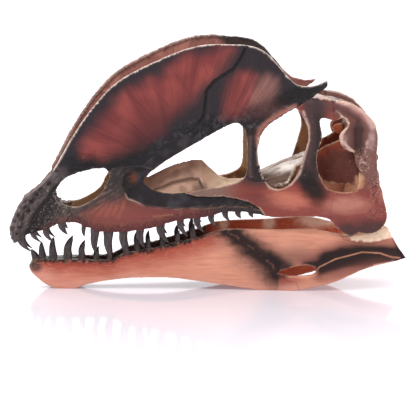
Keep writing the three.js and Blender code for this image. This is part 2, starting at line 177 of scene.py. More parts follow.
# The distance to a line of points.
def away(x, z, points):
    best = np.full(np.shape(x), 1e9)
    for (x0, z0), (x1, z1) in zip(points[:-1], points[1:]):
        span = (x1 - x0) ** 2 + (z1 - z0) ** 2
        t = np.clip(((x - x0) * (x1 - x0) + (z - z0) * (z1 - z0)) / span, 0, 1)
        best = np.minimum(best, np.hypot(x - x0 - t * (x1 - x0), z - z0 - t * (z1 - z0)))
    return best


# The distance to an outline, positive inside it.
def inside(x, z, outline):
    within = np.zeros(np.shape(x), bool)
    for (x0, z0), (x1, z1) in zip(outline, outline[1:] + outline[:1]):
        if z0 != z1:
            within ^= ((z0 > z) != (z1 > z)) & (x < x0 + (z - z0) * (x1 - x0) / (z1 - z0))
    return np.where(within, 1, -1) * away(x, z, outline + outline[:1])


# A soft stroke along a line of points.
def spray(x, z, points, width):
    return np.exp(-(away(x, z, points) / width) ** 2)


# A soft oval spot.
def puff(x, z, cx, cz, rx, rz, lean=0.0):
    c, s = math.cos(math.radians(lean)), math.sin(math.radians(lean))
    u, v = (x - cx) * c + (z - cz) * s, (z - cz) * c - (x - cx) * s
    return np.exp(-(u / rx) ** 2 - (v / rz) ** 2)


# A smooth step from 0 at low to 1 at high.
def ramp(v, low, high):
    t = np.clip((v - low) / (high - low), 0, 1)
    return t * t * (3 - 2 * t)


# An sRGB colour of 0 to 255 as linear light.
def tint(r, g, b):
    v = np.array([r, g, b], float) / 255
    return np.where(v <= 0.04045, v / 12.92, ((v + 0.055) / 1.055) ** 2.4)


# Paint on the vertices of one bone, laid on in coats, each where its mask is above 0.
class Coat:
    def __init__(self, r, g, b, count):
        self.colour = np.tile(tint(r, g, b), (count, 1))

    def cover(self, colour, mask):
        self.colour = self.colour + (colour - self.colour) * np.asarray(mask)[:, None]
        return self

    def lay(self, r, g, b, mask):
        return self.cover(tint(r, g, b), mask)


# The vertices of one bone in millimetres, with the patterns read at their places on the side wall.
class Skin:
    def noise(self, size, seed):
        return noise(self.x, self.a, self.z, size, seed)

    def away(self, points):
        return away(self.x, self.z, points)

    def inside(self, outline):
        return inside(self.x, self.z, outline)

    def spray(self, points, width):
        return spray(self.x, self.z, points, width)

    def puff(self, cx, cz, rx, rz, lean=0.0):
        return puff(self.x, self.z, cx, cz, rx, rz, lean)

    def coat(self, r, g, b):
        return Coat(r, g, b, len(self.x))


# Reads a piece, with how far each vertex stands proud of the skin round it as its edge.
def read_skin(piece):
    mesh = piece.data
    n = len(mesh.vertices)
    co, normal = np.empty(n * 3), np.empty(n * 3)
    mesh.vertices.foreach_get("co", co)
    mesh.vertex_normals.foreach_get("vector", normal)
    co, normal = co.reshape(-1, 3) * 1000, normal.reshape(-1, 3)
    s = Skin()
    s.co, s.normal = co, normal
    s.x, s.a, s.z = co[:, 0].copy(), np.abs(co[:, 1]), co[:, 2].copy()
    s.hand = np.where(co[:, 1] < 0, -1.0, 1.0)
    s.out = ramp(normal[:, 1] * s.hand, -0.25, 0.35)
    s.up = normal[:, 2].copy()
    s.rim = 1 - np.abs(normal[:, 1])
    # The share of worn edge that may chip, and how thick the painted glints lie, until a bone's paint sets
    # them.
    s.bare, s.fleck = 1.0, 0.0
    ends = np.empty(len(mesh.edges) * 2, np.int32)
    mesh.edges.foreach_get("vertices", ends)
    a, b = ends[0::2], ends[1::2]
    count = np.maximum(np.bincount(a, minlength=n) + np.bincount(b, minlength=n), 1)
    soft = co.copy()
    for _ in range(4):
        sums = [np.bincount(a, axis[b], n) + np.bincount(b, axis[a], n) for axis in soft.T]
        soft = np.stack([total / count for total in sums], 1)
    s.edge = ((co - soft) * normal).sum(1)
    return s


def write_co(piece, co):
    piece.data.vertices.foreach_set("co", (co / 1000).ravel())
    piece.data.update()


def store(piece, name, kind, slot, values):
    layer = piece.data.attributes.new(name, kind, "POINT")
    layer.data.foreach_set(slot, np.ascontiguousarray(values, np.float32).ravel())


corners = {}
for node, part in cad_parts.items():
    at = np.empty(len(part.data.vertices) * 3)
    part.data.vertices.foreach_get("co", at)
    corners[node] = at.reshape(-1, 3), [tuple(p.vertices) for p in part.data.polygons]


# Brings the skin near a neighbour back to its own solid, and on to the middle of the joint's gap, so that
# a joint shows as a hairline. Returns how near each vertex is to a joint.
def close_joints(node, s):
    seam_far, seam_near = 4.5, 2.2
    step_back, cast, gap_wide = 0.0004, 0.0025, 0.0006
    rounded = 0.08
    spots, faces, shift = [], [], 0
    for other, (at, polygons) in corners.items():
        if other != node:
            spots.append(at)
            faces.extend(tuple(k + shift for k in p) for p in polygons)
            shift += len(at)
    others = BVHTree.FromPolygons([tuple(p) for p in np.concatenate(spots)], faces)
    own = BVHTree.FromPolygons([tuple(p) for p in corners[node][0]], corners[node][1])
    seam = np.zeros(len(s.x))
    for i in np.flatnonzero(s.edge > rounded):
        spot, way = Vector(s.co[i] / 1000), Vector(s.normal[i])
        gap = others.find_nearest(spot, seam_far / 1000)[3]
        if gap is not None:
            seam[i] = ramp(gap * 1000, seam_far, seam_near)
            home = own.ray_cast(spot - step_back * way, way, cast)[0] or own.find_nearest(spot)[0]
            meet = others.find_nearest(home, gap_wide)[0]
            if meet is not None:
                home = (home + meet) / 2
            s.co[i] += (np.array(home) * 1000 - s.co[i]) * seam[i]
    return seam


# One bone: a fine skin over its solid, with its joints closed, the flat panels rounded to the wall or jaw,
# relief pushed along its normals, and the paint kept as colours on its vertices.
def bone(node, relief, paint, finish, settle="wall", teeth=0, grain=None, voxel=1.4, ease=5):
    same_spot = 0.000002
    tooth_proud, tooth_sunk = 0.8, 2.5
    piece = bpy.data.objects.new(node + "_cast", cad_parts[node].data.copy())
    scene.collection.objects.link(piece)
    bpy.ops.object.select_all(action="DESELECT")
    piece.select_set(True)
    bpy.context.view_layer.objects.active = piece
    bpy.ops.object.mode_set(mode="EDIT")
    bpy.ops.mesh.select_all(action="SELECT")
    bpy.ops.mesh.remove_doubles(threshold=same_spot)
    bpy.ops.object.mode_set(mode="OBJECT")
    piece.data.materials.clear()
    if teeth:
        s = read_skin(piece)
        rim = upper_edge(s.x) if teeth < 0 else jaw_top(s.x)
        s.co[:, 2] = np.where((s.z - rim) * teeth > tooth_proud, rim - tooth_sunk * teeth, s.z)
        write_co(piece, s.co)
    skin = piece.modifiers.new("skin", "REMESH")
    skin.mode = "VOXEL"
    skin.voxel_size = voxel / 1000
    soften = piece.modifiers.new("soften", "SMOOTH")
    soften.factor = 0.5
    soften.iterations = ease
    bpy.ops.object.modifier_apply(modifier="skin")
    bpy.ops.object.modifier_apply(modifier="soften")
    s = read_skin(piece)
    seam = close_joints(node, s)
    if settle:
        shape, flat = (face, wall_facets) if settle == "wall" else (jaw_face, jaw_facets)
        plain = flat(s.x, s.z)
        s.co[:, 1] += s.hand * (shape(s.x, s.z) - plain) * np.clip(s.a / plain, 0, 1)
        outer = ramp(plain - s.a, 3.0, 1.0)
        ahead = shape(s.x - 1, s.z) - shape(s.x + 1, s.z)
        above = shape(s.x, s.z - 1) - shape(s.x, s.z + 1)
        square = np.stack([ahead, 2 * s.hand, above], 1)
        square /= np.linalg.norm(square, axis=1)[:, None]
        s.normal += (square - s.normal) * (outer * ramp(seam, 0, 0.3))[:, None]
        s.out = np.maximum(s.out, outer * ramp(seam, 0, 0.3))
    height = relief(s) + 0.25 * (noise(s.x, s.co[:, 1], s.z, 4.0, 3) - 0.5)
    height *= ramp(s.z, 0.5, 6.0) * ramp(s.a, 0.2, 3.0)
    s.co += s.normal * height[:, None]
    s.co[:, 2] = np.maximum(s.co[:, 2], 0.0)
    write_co(piece, s.co)
    s = read_skin(piece)
    s.height, s.seam = height, seam
    colour = np.clip(paint(s).colour, 0, 1)
    store(piece, "paint", "FLOAT_COLOR", "color", np.column_stack([colour, np.ones(len(colour))]))
    store(piece, "worn", "FLOAT", "value", ramp(s.edge, 0.22, 0.75) * (1 - s.seam) * s.bare)
    # Painted shade: how hollow the skin is at each vertex.
    store(piece, "hollow_shade", "FLOAT", "value", ramp(-s.edge, 0.15, 0.8))
    # Painted glints: how thickly pale specks lie on each vertex.
    store(piece, "fleck", "FLOAT", "value", s.fleck + 0 * s.x)
    store(piece, "grain", "FLOAT_VECTOR", "vector", (grain(s) if grain else s.co) / 1000)
    bpy.ops.object.shade_smooth()
    piece.data.materials.append(finish)
    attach(piece, "root")
    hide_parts(node)


# The grain of sprayed resin, with the specks of painted glint, which all the finishes of the bones share.
cast_grain = bpy.data.node_groups.new("cast_grain", "ShaderNodeTree")
cast_grain.interface.new_socket("Fineness", in_out="INPUT", socket_type="NodeSocketFloat")
cast_grain.interface.new_socket("Mottle", in_out="OUTPUT", socket_type="NodeSocketColor")
for name in ("Chips", "Glints", "Roughness", "Height"):
    cast_grain.interface.new_socket(name, in_out="OUTPUT", socket_type="NodeSocketFloat")
nodes, links = cast_grain.nodes, cast_grain.links
into, outof = nodes.new("NodeGroupInput"), nodes.new("NodeGroupOutput")
flow = nodes.new("ShaderNodeAttribute")
flow.attribute_name = "grain"
fine, wide, spot, glint_speck = (nodes.new("ShaderNodeTexNoise") for _ in range(4))
links.new(into.outputs["Fineness"], fine.inputs["Scale"])
wide.inputs["Scale"].default_value = 260.0
spot.inputs["Scale"].default_value = 420.0
glint_speck.inputs["Scale"].default_value = 520.0
for texture in (fine, wide, spot, glint_speck):
    texture.inputs["Detail"].default_value = 3.0
    links.new(flow.outputs["Vector"], texture.inputs["Vector"])
for source, low, high, to in (
    (wide, 0.84, 1.16, "Mottle"),
    (spot, -0.7, 2.3, "Chips"),
    (glint_speck, -4.6, 3.6, "Glints"),
    (wide, 0.24, 0.46, "Roughness"),
):
    span = nodes.new("ShaderNodeMapRange")
    span.inputs["To Min"].default_value = low
    span.inputs["To Max"].default_value = high
    links.new(source.outputs["Fac"], span.inputs["Value"])
    links.new(span.outputs["Result"], outof.inputs[to])
links.new(fine.outputs["Fac"], outof.inputs["Height"])


# Mottled paint, chipped to the bare resin on worn edges and flecked with painted glints, with painted shade
# darkening the hollows.
def sprayed_resin(name, bare, fineness=900.0, bump=0.25, shine=0.2):
    material = bpy.data.materials.new(name)
    material.use_nodes = True
    nodes, links = material.node_tree.nodes, material.node_tree.links
    shell = nodes["Principled BSDF"]
    shell.inputs["Specular IOR Level"].default_value = shine
    skin = nodes.new("ShaderNodeGroup")
    skin.node_tree = cast_grain
    skin.inputs["Fineness"].default_value = fineness
    paint, worn, hollow_shade, fleck = (nodes.new("ShaderNodeAttribute") for _ in range(4))
    for layer, source in ((paint, "paint"), (worn, "worn"), (hollow_shade, "hollow_shade"), (fleck, "fleck")):
        layer.attribute_name = source
    mottled, chipped_and_glinting, shade_in_hollows = (nodes.new("ShaderNodeMix") for _ in range(3))
    for mix in (mottled, chipped_and_glinting, shade_in_hollows):
        mix.data_type = "RGBA"
    mottled.blend_type = "MULTIPLY"
    mottled.inputs["Factor"].default_value = 1.0
    links.new(paint.outputs["Color"], mottled.inputs["A"])
    links.new(skin.outputs["Mottle"], mottled.inputs["B"])
    # Painted glints: pale specks of the bare resin colour, added to the chips on worn edges.
    glint_share, thin = nodes.new("ShaderNodeMath"), nodes.new("ShaderNodeMath")
    glint_share.operation, thin.operation = "MULTIPLY", "MULTIPLY_ADD"
    glint_share.use_clamp = thin.use_clamp = True
    links.new(fleck.outputs["Fac"], glint_share.inputs[0])
    links.new(skin.outputs["Glints"], glint_share.inputs[1])
    links.new(worn.outputs["Fac"], thin.inputs[0])
    links.new(skin.outputs["Chips"], thin.inputs[1])
    links.new(glint_share.outputs["Value"], thin.inputs[2])
    links.new(thin.outputs["Value"], chipped_and_glinting.inputs["Factor"])
    links.new(mottled.outputs["Result"], chipped_and_glinting.inputs["A"])
    # The bare resin colour, shown on chipped edges and also as the painted glints.
    chipped_and_glinting.inputs["B"].default_value = (*tint(*bare), 1)
    # Painted shade: near black laid over the hollows.
    deep = nodes.new("ShaderNodeMath")
    deep.operation = "MULTIPLY"
    deep.inputs[1].default_value = 0.8
    links.new(hollow_shade.outputs["Fac"], deep.inputs[0])
    links.new(deep.outputs["Value"], shade_in_hollows.inputs["Factor"])
    links.new(chipped_and_glinting.outputs["Result"], shade_in_hollows.inputs["A"])
    shade_in_hollows.inputs["B"].default_value = (0.014, 0.008, 0.007, 1)
    links.new(shade_in_hollows.outputs["Result"], shell.inputs["Base Color"])
    links.new(skin.outputs["Roughness"], shell.inputs["Roughness"])
    dent = nodes.new("ShaderNodeBump")
    dent.inputs["Strength"].default_value = bump
    dent.inputs["Distance"].default_value = 0.001
    links.new(skin.outputs["Height"], dent.inputs["Height"])
    links.new(dent.outputs["Normal"], shell.inputs["Normal"])
    return material


charcoal = sprayed_resin("charcoal_spray", (150, 138, 130), bump=0.4)
snout_pits = [(-276, 142), (-287, 132), (-298, 119), (-295, 101), (-306, 97), (-284, 96), (-268, 153),
              (-303, 109), (-290, 116), (-281, 128), (-262, 161), (-300, 90), (-248, 171)]


def behind_step(s):
    return s.x - np.interp(s.z, [84, 92, 117, 132, 149, 174], [-287, -285, -279, -268, -254, -239])


def snout_holes(s):
    holes = np.zeros(len(s.x))
    ragged = 0.6 + 0.8 * s.noise(4.0, 5)
    for k, (x, z) in enumerate(snout_pits):
        holes = np.maximum(holes, s.puff(x, z, 5.6 - 0.8 * (k % 4), 3.0 - 0.4 * (k % 3), 52 + 9 * (k % 3)))
    return np.clip(holes * ragged, 0, 1) * s.out


def snout_relief(s):
    step = behind_step(s)
    hollow = ramp(step, -4, 5) * ramp(step, 62, 22) * ramp(s.z, 176, 160) * s.out
    along, across = s.x * 0.5 + s.z * 0.86, s.z * 0.5 - s.x * 0.86
    folds = 4.4 * np.abs(noise(across, s.a, along / 2.6, 6.0, 1) - 0.5) + 1.8 * (s.noise(4.0, 2) - 0.5) - 0.8
    crumple = 3.4 * (noise(across, s.a, along / 3.0, 3.6, 4) - 0.5) * ramp(step, 0, 8) * ramp(s.z, 172, 156)
    lip = 1.4 * np.exp(-(step / 5) ** 2) * s.out
    return folds + crumple - 3.0 * hollow + lip - 2.2 * snout_holes(s)


def snout_paint(s):
    step = behind_step(s)
    low = s.z - upper_edge(s.x)
    s.bare = 0.5 * ramp(low, 6, 14)
    # Painted glints behind the step and below the opening.
    s.fleck = 0.5 * ramp(step, 2, 12) * ramp(low, 2, 10) * ramp(s.z, 176, 150)
    colour = s.coat(78, 68, 67)
    # Lighter grey on the ridge before the step, a painted highlight.
    colour.lay(104, 90, 90, 0.8 * ramp(step, -14, -28))
    colour.lay(48, 42, 42, 0.7 * ramp(s.noise(6.0, 6), 0.45, 0.75))
    colour.lay(48, 40, 39, 0.8 * ramp(s.z, 104, 86) * ramp(s.x, -300, -292))
    colour.lay(32, 28, 29, 0.95 * ramp(step, -3, 8) * ramp(step, 70, 16))
    colour.lay(76, 66, 60, 0.85 * ramp(s.x, -252, -222) * ramp(s.z, 160, 140))
    colour.lay(84, 76, 77, 0.8 * ramp(s.z, 166, 180))
    # A painted highlight on the high spots of the relief, and painted shade in its low spots.
    colour.lay(124, 112, 110, 0.35 * ramp(s.height, 0.4, 1.6))
    colour.lay(24, 20, 20, 0.7 * ramp(-s.height, 0.3, 1.6) * ramp(step, 40, -6))
    colour.lay(46, 30, 26, 0.9 * ramp(snout_holes(s), 0.3, 0.8))
    colour.lay(104, 58, 52, 0.5 * ramp(low, 16, 3) * ramp(s.x, -275, -250))
    return colour.lay(96, 66, 50, 1 - s.out)


for side in ("left", "right"):
    bone("premaxilla_" + side, snout_relief, snout_paint, charcoal, teeth=-1, voxel=1.1, ease=4)

# Maxillae: the long tooth-bearing cheeks in brown-red resin. The hollow round the opening before the
# eye is sprayed charcoal with a rubbed tan rim, and the tooth sockets bulge above the margin.
maxilla_spray = sprayed_resin("brown_red_spray", (176, 138, 110), bump=0.3)
premaxilla_row = [(-292.6, 22, 17, 11), (-273.6, 17, 14, 9), (-253.6, 22, 15, 9), (-228.6, 20, 9, 11)]
maxilla_row = [(-193.6, 19, 0, 7), (-175.6, 37, -1, 12), (-154.6, 43, 3, 13), (-131.6, 39, 9, 12),
               (-105.6, 30, 7, 11), (-73.6, 30, 13, 12), (-42.6, 28, 12, 10), (-16.6, 25, 12, 10),
               (5.4, 21, 11, 9), (27.4, 16, 8, 9), (47.4, 12, 5, 9), (67.4, 9, 4, 8)]
fossa_rim = [(-133, 178), (-134, 169), (-125, 149), (-95, 136), (-54, 132), (11, 135), (50, 137), (80, 132)]


def in_fossa(s):
    rim_x, rim_z = zip(*fossa_rim[1:], (92, 118))
    return ramp(s.z - np.interp(s.x, rim_x, rim_z), -2, 3) * ramp(s.x, -135, -130)


fan_ridges = [[(-129, 160), (-130, 146), (-134, 130), (-139, 118)], [(-135, 160), (-140, 142), (-148, 122)],
              [(-141, 158), (-149, 140), (-159, 122)], [(-147, 156), (-159, 138), (-172, 122)],
              [(-155, 152), (-170, 136), (-187, 122)], [(-166, 146), (-184, 132), (-198, 124)]]


def fan(s):
    return np.max([s.spray(ridge, 3.2) for ridge in fan_ridges], axis=0) * s.out


def strut_grain(s, stretch, size, seed):
    across, along = s.x * 0.5 - s.z * 0.86, s.x * 0.86 + s.z * 0.5
    return noise(across, s.a, along / stretch, size, seed)


def maxilla_relief(s):
    rise = s.z - upper_edge(s.x)
    sockets = sum(np.exp(-((s.x - x) / (0.42 * w + 1)) ** 2) for x, _, _, w in maxilla_row)
    sockets = 2.2 * (sockets - 0.45) * ramp(rise, 24, 8) * s.out
    rough = 2.4 * (s.noise(4.4, 9) - 0.5) * ramp(rise, 18, 9)
    rough += 1.0 * (s.noise(8.0, 7) - 0.5)
    strut = ramp(s.z - 0.35 * s.x, 196, 214) * ramp(s.x, -112, -126)
    rough += 3.0 * (strut_grain(s, 3.5, 3.4, 8) - 0.5) * strut
    lip = 1.3 * s.spray(fossa_rim, 3.5) * s.out
    return 1.1 * fan(s) + sockets + rough + lip - 1.3 * s.puff(-116, 180, 6, 8) * s.out


def maxilla_paint(s):
    rise = s.z - upper_edge(s.x)
    mud = s.noise(5.0, 11)
    cloud = s.noise(14.0, 10)
    hollow = in_fossa(s)
    strut = ramp(s.z - 0.35 * s.x + 12 * (cloud - 0.5), 186, 214) * ramp(s.x, -112, -132)
    s.bare = 0.5 * ramp(rise, 6, 14) * (1 - s.spray([(-104, 199), (-122, 194), *fossa_rim], 7))
    # Painted glints in a band above the tooth margin, and faintly on the strut.
    s.fleck = np.maximum(0.3 * ramp(rise, 20, 12) * ramp(rise, 2, 8), 0.1 * strut)
    colour = s.coat(112, 60, 55)
    colour.lay(82, 66, 60, ramp(s.x + 8 * (cloud - 0.5), -176, -206))
    colour.lay(144, 84, 72, 0.85 * s.puff(-150, 130, 36, 18))
    colour.lay(78, 68, 66, 0.85 * ramp(s.z - 0.35 * s.x, 182, 206) * ramp(s.x, -118, -140))
    colour.lay(172, 92, 72, 0.3 * ramp(fan(s), 0.1, 1.0) * ramp(mud, 0.1, 0.6) * ramp(s.z, 158, 140))
    colour.lay(80, 50, 47, 0.45 * ramp(fan(s), 0.45, 0.0) * s.puff(-154, 140, 30, 16))
    colour.lay(132, 70, 66, 0.6 * s.puff(-104, 122, 60, 9))
    colour.lay(84, 44, 45, 0.8 * ramp(rise + 8 * (mud - 0.5), 16, 4))
    colour.lay(58, 42, 44, 0.85 * ramp(s.x, -30, 50))
    colour.lay(50, 45, 46, 0.95 * ramp(s.z + 0.2 * s.x, 120, 148))
    colour.lay(36, 33, 36, 0.97 * hollow)
    colour.lay(82, 78, 82, 0.4 * hollow * ramp(cloud, 0.4, 0.9))
    colour.lay(52, 48, 48, 0.9 * strut * ramp(strut_grain(s, 4, 3.6, 6), 0.3, 0.7))
    colour.lay(26, 24, 25, 0.85 * s.puff(-124, 164, 8, 16))
    edge = s.spray(fossa_rim, 0.9) * ramp(s.z, 162, 152)
    colour.lay(196, 172, 154, 0.7 * edge * ramp(s.x, -96, -116))
    colour.lay(140, 108, 94, 0.4 * edge * ramp(s.noise(9.0, 13), 0.4, 0.65) * ramp(s.x, -112, -100))
    colour.lay(150, 106, 84, 0.6 * s.spray([(-85, 121), (-55, 124)], 1.2))
    colour.lay(108, 56, 30, 0.85 * s.puff(-116, 181, 6, 8) * ramp(mud, 0.1, 0.5))
    return colour.lay(190, 158, 126, 1 - s.out)


for side in ("left", "right"):
    bone("maxilla_" + side, maxilla_relief, maxilla_paint, maxilla_spray,
         teeth=-1, voxel=1.2, ease=4)

# Nasals and lacrimals: the paired crests, thin resin sheets in brick red combed with fine rays, with
# charcoal sprayed along the top edge, the foot and the dark crack between the two bones.
crest_spray = sprayed_resin("brick_red_spray", (216, 196, 184), fineness=700.0, bump=0.35)
crest_top = [(-250, 182), (-240, 191), (-213, 242), (-179, 293), (-139, 335), (-73, 370), (-32, 386),
             (-2, 392), (35, 392), (59, 391), (78, 386), (95, 375), (111, 356), (137, 329), (152, 326),
             (184, 336)]
red_field = [(-194, 220), (-190, 237), (-179, 259), (-153, 291), (-122, 320), (-91, 340), (-57, 362),
             (-18, 380), (17, 387), (35, 384), (24, 366), (4, 344), (-18, 317), (-39, 295), (-54, 277),
             (-72, 252), (-102, 238), (-140, 227), (-176, 219)]
hairlines = [[(-122, 316), (-84, 276)], [(-86, 326), (-60, 294)], [(-56, 354), (-24, 310)],
             [(-170, 252), (-136, 239)], [(-146, 286), (-112, 262)], [(-10, 372), (0, 344)]]
rear_red = [(26, 278), (27, 311), (34, 328), (51, 347), (67, 351), (75, 342), (73, 312), (66, 289), (52, 281)]
rear_tan = [(68, 294), (73, 315), (83, 335), (93, 343), (105, 339), (106, 325), (99, 307), (86, 294)]
brow = [(79, 236), (78, 246), (81, 257), (94, 271), (112, 283), (135, 294)]


def past_crack(s):
    crack_z = [247, 264, 281, 320, 335, 354, 372, 402]
    crack_x = [-37, -16, -6, -2, 10, 39, 51, 64]
    return ramp(s.x - np.interp(s.z, crack_z, crack_x), -1, 1)


def crest_rays(s):
    rear = past_crack(s)
    cx, cz = -50 + 38 * rear, 200 - 50 * rear
    return np.arctan2(s.z - cz, s.x - cx), np.hypot(s.x - cx, s.z - cz)


def crest_grain(s):
    angle, radius = crest_rays(s)
    return np.stack([angle * 150, s.co[:, 1] * 0.3, radius * 0.07], 1)


def crest_relief(s):
    angle, radius = crest_rays(s)
    flat = 0 * s.x
    rays = noise(angle * 60, flat, radius / 70, 1.0, 12) + noise(angle * 24, flat, radius / 90, 1.0, 13) - 1.0
    on_crest = ramp(s.z - roof_line(s.x), -6, 12)
    edge = ramp(s.away(crest_top), 7, 1.5)
    comb = 1.8 * (noise(angle * 60, s.a, radius / 12, 1.0, 19) - 0.5) * edge * np.where(s.hand > 0, 1.0, 0.2)
    comb += np.where(s.hand > 0, 3.2, 0) * edge * s.rim * ramp(s.x, 60, 0)
    lumps = 1.6 * (s.noise(5.0, 14) - 0.5) + 1.2 * (s.noise(3.0, 11) - 0.5)
    lumps = lumps * ramp(s.z - roof_line(s.x), 34, 10)
    scratch = -0.35 * np.max([s.spray(hair, 1.2) for hair in hairlines], axis=0) * s.out
    bar = 2.4 * s.spray([(70, 258), (69, 214), (71, 186)], 6.5)
    ledge = 1.8 * s.spray(brow, 5)
    sunk = -1.2 * ramp(s.inside(red_field), -10, 18)
    combed = 0.5 * rays * on_crest * (0.5 + 0.3 * (1 - s.out))
    return combed + (0.6 * edge + bar + ledge + sunk) * s.out + comb + lumps + scratch


def crest_paint(s):
    angle, radius = crest_rays(s)
    flat = 0 * s.x
    broad = noise(angle * 6, flat, radius / 120, 1.0, 15)
    thin = noise(angle * 40, flat, radius / 90, 1.0, 16)
    hair = noise(angle * 110, flat, radius / 45, 1.0, 20)
    cloud = s.noise(30.0, 17)
    mud = s.noise(5.0, 18)
    above = s.z - roof_line(s.x)
    on_crest = ramp(above, -2, 14)
    foot = ramp(above + 14 * (cloud - 0.5), 28, 6) * s.out
    s.bare = np.where(s.hand > 0, 0.25, 1.0) * (1 - 0.9 * ramp(above, 40, 14))
    colour = s.coat(42, 36, 40)
    colour.lay(28, 26, 28, 0.9 * foot)
    colour.lay(72, 66, 69, 0.2 * ramp(hair, 0.6, 0.9))
    colour.lay(74, 72, 78, 0.5 * foot * ramp(mud, 0.4, 0.8) * ramp(s.x, -110, -60))
    colour.lay(84, 74, 75, 0.8 * ramp(s.x, -212, -228) * ramp(s.z, 206, 190))
    red = s.coat(122, 53, 51).lay(144, 68, 62, ramp(0.6 * broad + 0.4 * cloud, 0.38, 0.66))
    red.lay(94, 40, 41, 0.4 * ramp(0.5 * broad + 0.5 * thin, 0.44, 0.28))
    red.lay(160, 84, 75, 0.22 * ramp(0.5 * hair + 0.5 * thin, 0.56, 0.8))
    red.lay(76, 34, 36, 0.8 * ramp(radius, 130, 66) * ramp(s.x, 0, -20))
    red.lay(70, 34, 36, 0.28 * np.max([s.spray(line_of, 1.1) for line_of in hairlines], axis=0))
    rear = past_crack(s)
    ragged = 20 * (cloud - 0.5) + 3 * (thin - 0.5)
    colour.cover(red.colour, 0.97 * (1 - rear) * ramp(s.inside(red_field) + ragged, -18, 15))
    stripe = ramp(0.4 * thin + 0.6 * hair, 0.3, 0.65)
    colour.cover(red.colour, rear * (0.6 + 0.35 * stripe) * ramp(s.inside(rear_red) + 0.6 * ragged, -13, 12))
    colour.lay(152, 104, 94, rear * (0.6 + 0.3 * stripe) * ramp(s.inside(rear_tan) + 0.5 * ragged, -13, 10))
    colour.lay(82, 52, 50, 0.75 * rear * ramp(s.puff(92, 292, 40, 16, 20), 0.2, 0.9))
    colour.lay(26, 23, 22, 0.9 * ramp(s.puff(140, 314, 44, 14, 22), 0.2, 0.7))
    post = s.spray([(70, 250), (69, 176)], 16)
    colour.lay(46, 36, 35, 0.85 * post)
    colour.lay(100, 78, 74, 0.6 * s.spray([(66, 246), (64, 214), (66, 186)], 3))
    colour.lay(160, 102, 88, 0.85 * s.spray(brow, 4.2))
    rubbed = s.spray([(80, 244), (78, 222), (80, 202), (86, 184)], 2.2)
    colour.lay(206, 178, 164, 0.85 * rubbed * ramp(mud, 0.1, 0.5))
    colour.lay(22, 20, 21, 0.95 * s.seam * ramp(above, 4, 14))
    line_of_light = ramp(s.rim, 0.25, 0.8) * ramp(s.away(crest_top), 5, 2)
    line_of_light = line_of_light * ramp(s.x, 190, 150) * ramp(above, 4, 20)
    colour.lay(242, 232, 226, line_of_light * np.where(s.hand < 0, 1.0, 0.15))
    inner = s.coat(172, 118, 105).lay(124, 78, 70, 0.7 * ramp(0.5 * broad + 0.5 * cloud, 0.6, 0.35))
    inner.lay(176, 130, 118, 0.3 * on_crest * ramp(hair, 0.55, 0.9))
    inner.lay(74, 50, 46, 0.35 * on_crest * ramp(thin, 0.45, 0.2))
    inner.lay(70, 50, 46, 0.7 * ramp(s.away(crest_top) + 5 * (mud - 0.5), 6, 1) * np.where(s.hand > 0, 1, 0))
    sooty = ramp(s.x + 0.5 * (s.z - 385) + 30 * (cloud - 0.5), 14, 40) * ramp(s.x, 125, 110)
    inner.lay(44, 40, 39, 0.95 * sooty)
    inner.lay(134, 84, 76, ramp(s.x, 112, 128) * ramp(s.z, 306, 316))
    inner.lay(170, 136, 100, ramp(-4 - above, 0, 8))
    return colour.cover(inner.colour, 1 - s.out)


for name in ("nasal", "lacrimal"):
    for side in ("left", "right"):
        bone(name + "_" + side, crest_relief, crest_paint, crest_spray,
             grain=crest_grain, voxel=1.2, ease=4)

# Cheeks: jugal, postorbital, squamosal and quadratojugal round the eye and the temple, in pinkish
# resin that shades to charcoal on the bar behind the eye. They meet with hairline joints.
cheek_spray = sprayed_resin("cheek_pink_spray", (216, 178, 156), bump=0.3, shine=0.35)
eye_post = [(164, 302), (167, 269), (167, 240), (161, 210), (158, 186)]
temple_ledge = [(176, 305), (210, 300), (240, 286), (257, 264)]
notch_rim = [(203, 286), (217, 269), (213, 262), (207, 254), (206, 243), (218, 231), (226, 225), (227, 212),
             (232, 199), (246, 176)]
orbit_rim = [(148, 287), (156, 264), (156, 243), (149, 217), (142, 191), (129, 174), (109, 165), (96, 168),
             (88, 182)]
temple_rim = [(171, 228), (171, 207), (176, 187), (185, 163), (207, 159), (236, 160)]


def rugged(s):
    upper, middle, lower = s.puff(240, 208, 16, 26), s.puff(260, 170, 14, 30), s.puff(262, 128, 22, 14)
    return np.maximum.reduce([upper, middle, 0.7 * lower])


def cheek_relief(s):
    rough = rugged(s)
    lumps = (s.noise(12.0, 20) - 0.5) * (1.2 + 1.6 * rough) + (s.noise(4.6, 21) - 0.5) * (0.6 + 4.4 * rough)
    beam = 2.2 * s.spray([(20, 160), (60, 154), (100, 150), (150, 146), (190, 136)], 11)
    post = 2.6 * s.spray([(160, 300), (162, 269), (161, 240), (155, 210), (150, 190)], 5)
    ledge = 2.4 * s.spray(temple_ledge, 5)
    under = -2.2 * s.spray([(196, 290), (216, 286), (234, 274)], 6)
    finger = 2.2 * s.spray(notch_rim[:7], 4)
    lobe = 1.6 * s.puff(214, 246, 9, 12)
    hollow = -4.4 * s.spray([(235, 258), (234, 232)], 9.0)
    hump = 2.4 * s.puff(254, 246, 10, 20)
    spine = 1.6 * s.spray([(246, 238), (244, 222)], 3)
    low = 1.8 * s.spray([(196, 132), (250, 130)], 12)
    return lumps + (beam + post + ledge + under + finger + lobe + hollow + hump + spine + low) * s.out


